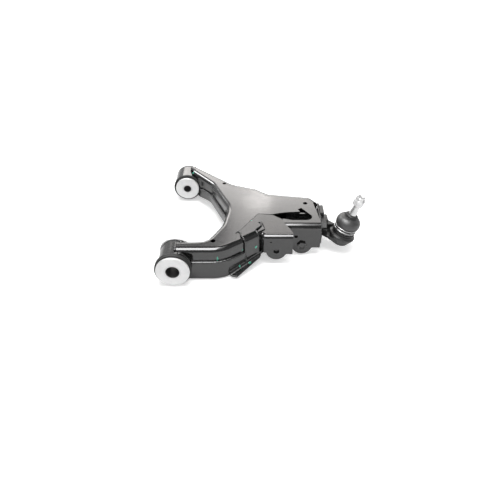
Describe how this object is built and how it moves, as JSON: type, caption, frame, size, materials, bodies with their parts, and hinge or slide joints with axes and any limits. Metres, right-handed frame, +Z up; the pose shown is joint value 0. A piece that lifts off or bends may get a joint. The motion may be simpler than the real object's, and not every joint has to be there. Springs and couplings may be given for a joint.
{
  "type": "lower control arm",
  "caption": "Pressed-steel lower suspension control arm with rubber pivot bushes, a shock absorber seat, a link bracket and a booted ball joint with a castle nut.",
  "frame": {"origin": "centre of the rear bush bore on the pivot axis", "axes": "+Y along the pivot axis to the front bush, +X outboard to the ball joint, +Z up as the arm sits in the vehicle"},
  "size_m": [0.4422, 0.401, 0.1359],
  "materials": {
    "black_coat": "gloss black dip coat",
    "coated_nut": "black dip coat over a weld nut",
    "forged_black": "forged skin under satin black paint",
    "bush_rubber": "moulded satin rubber",
    "plain_steel": "turned steel",
    "bright_zinc": "bright zinc plate",
    "seat_polymer": "natural acetal"
  },
  "bodies": {
    "arm": {"upper_pressing": "black_coat", "lower_pressing": "black_coat", "link_bracket": "black_coat", "gusset_plate": "black_coat", "link_weld_nut": "coated_nut", "edge_flange": "black_coat", "shock_rear_wall": "black_coat", "shock_front_wall": "black_coat", "shock_weld_nut": "coated_nut", "rear_eye_tube": "black_coat", "front_eye_tube": "black_coat", "rear_bush_shell": "plain_steel", "front_bush_shell": "plain_steel", "rear_bush_rubber": "bush_rubber", "front_bush_rubber": "bush_rubber", "ball_joint_forging": "forged_black", "housing_cover": "bright_zinc", "preload_disc": "plain_steel", "boot": "bush_rubber", "boot_rings": "bright_zinc"},
    "rear_pivot": {"rear_bush_sleeve": "plain_steel", "rear_washers": "bright_zinc"},
    "front_pivot": {"front_bush_sleeve": "plain_steel", "front_washers": "bright_zinc"},
    "socket_liner": {"ball_seat": "seat_polymer"},
    "stud_guide": {"boot_collar": "bush_rubber"},
    "stud": {"ball_stud": "plain_steel", "castle_nut": "bright_zinc"}
  },
  "joints": [
    {"name": "rear_bush_twist", "type": "hinge", "parent": "arm", "child": "rear_pivot", "pos_m": [0, 0, 0], "axis": [0, 1, 0], "range_deg": [-20, 20], "stiffness_Nm_per_rad": 40},
    {"name": "front_bush_twist", "type": "hinge", "parent": "arm", "child": "front_pivot", "pos_m": [0, 0.33, 0], "axis": [0, 1, 0], "range_deg": [-20, 20], "stiffness_Nm_per_rad": 40},
    {"name": "ball_direction", "type": "hinge", "parent": "arm", "child": "socket_liner", "pos_m": [0.362, 0.099, 0], "axis": [0.3256, 0, 0.9455], "continuous": true},
    {"name": "ball_tilt", "type": "hinge", "parent": "socket_liner", "child": "stud_guide", "pos_m": [0.362, 0.099, 0], "axis": [0, 1, 0], "range_deg": [0, 20], "deforming": ["boot"]},
    {"name": "ball_spin", "type": "hinge", "parent": "stud_guide", "child": "stud", "pos_m": [0.362, 0.099, 0], "axis": [0.3256, 0, 0.9455], "continuous": true}
  ],
  "couplings": [
    {"joint": "front_bush_twist", "follows": "rear_bush_twist", "ratio": 1}
  ]
}
